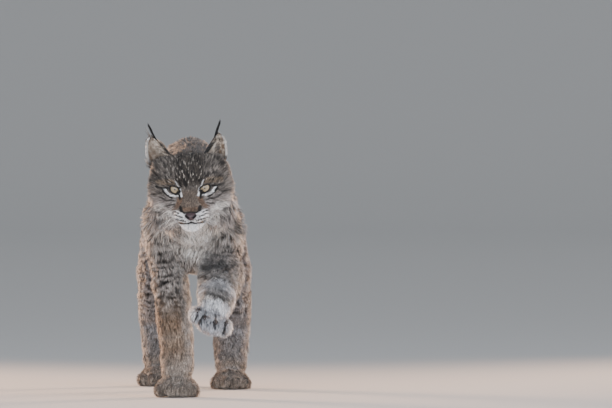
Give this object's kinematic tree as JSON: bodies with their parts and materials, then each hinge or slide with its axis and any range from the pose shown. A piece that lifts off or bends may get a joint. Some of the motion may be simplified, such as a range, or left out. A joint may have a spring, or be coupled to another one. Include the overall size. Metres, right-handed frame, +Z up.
{
  "type": "eurasian lynx",
  "caption": "Eurasian lynx at life size, walking with its left forefoot lifted, head low, in spotted grey-brown winter coat with black ear tufts.",
  "frame": {"origin": "on the floor, under the middle of the animal's bounding box", "axes": "+Z up, the animal faces -Y, and its own left side is +X"},
  "size_m": [0.2652, 0.9794, 0.6127],
  "materials": {
    "coat": "matte winter fur, grey-brown with dark spots",
    "ear_fur": "matte short fur, buff inside and black at the edge and tuft",
    "foot_fur": "matte dense fur, buff to grey-white",
    "tail_fur": "matte black fur",
    "nose_leather": "moist satin, fine grained",
    "eye": "wet gloss over a pale yellow-grey iris"
  },
  "bodies": {
    "root": {"torso": "coat", "neck": "coat", "head": "coat", "nose": "nose_leather", "eye_left": "eye", "eye_right": "eye", "ear_left": "ear_fur", "ear_right": "ear_fur", "upper_arm_left": "coat", "upper_arm_right": "coat", "forearm_left": "coat", "forearm_right": "coat", "forepaw_left": "foot_fur", "forepaw_right": "foot_fur", "thigh_left": "coat", "thigh_right": "coat", "shank_left": "coat", "shank_right": "coat", "hindpaw_left": "foot_fur", "hindpaw_right": "foot_fur", "tail": "coat", "tail_tip": "tail_fur"}
  },
  "joints": []
}
